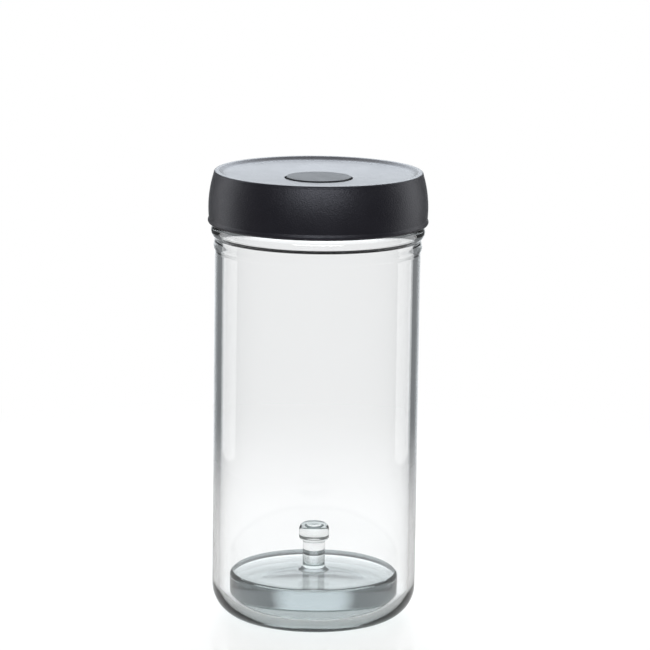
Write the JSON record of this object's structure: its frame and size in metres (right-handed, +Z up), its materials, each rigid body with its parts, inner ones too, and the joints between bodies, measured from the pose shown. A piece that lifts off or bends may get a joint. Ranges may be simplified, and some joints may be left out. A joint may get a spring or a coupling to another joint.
{
  "type": "fermentation jar",
  "caption": "Tall clear glass jar with a black screw lid, a rim seal, a vent button that lets gas out, and a loose glass weight with a knob inside.",
  "frame": {"origin": "on the table in the middle of the glass base", "axes": "+Z up the axis of the jar, from the base to the lid"},
  "size_m": [0.1082, 0.1082, 0.2235],
  "materials": {
    "jar_glass": "clear, smooth blown and pressed glass",
    "weight_glass": "clear pressed glass with rounded edges",
    "seal_silicone": "matt translucent grey silicone",
    "lid_plastic": "fine matt black moulded plastic",
    "valve_silicone": "matt black silicone",
    "button_plastic": "matt dark grey moulded plastic"
  },
  "bodies": {
    "jar": {"jar": "jar_glass"},
    "weight": {"weight": "weight_glass"},
    "seal": {"lid_seal": "seal_silicone"},
    "lid": {"lid": "lid_plastic"},
    "vent": {"vent_valve": "valve_silicone", "vent_button": "button_plastic"}
  },
  "joints": [
    {"name": "weight_lift", "type": "slide", "parent": "jar", "child": "weight", "axis": [0, 0, 1], "range_m": [0, 0.158]},
    {"name": "lid_lift", "type": "slide", "parent": "jar", "child": "seal", "axis": [0, 0, 1], "range_m": [0, 0.06]},
    {"name": "lid_turn", "type": "hinge", "parent": "seal", "child": "lid", "pos_m": [0, 0, 0.2], "axis": [0, 0, 1], "range_deg": [0, 120]},
    {"name": "vent_lift", "type": "slide", "parent": "lid", "child": "vent", "axis": [0, 0, 1], "range_m": [0, 0.0012], "stiffness_N_per_m": 150}
  ]
}
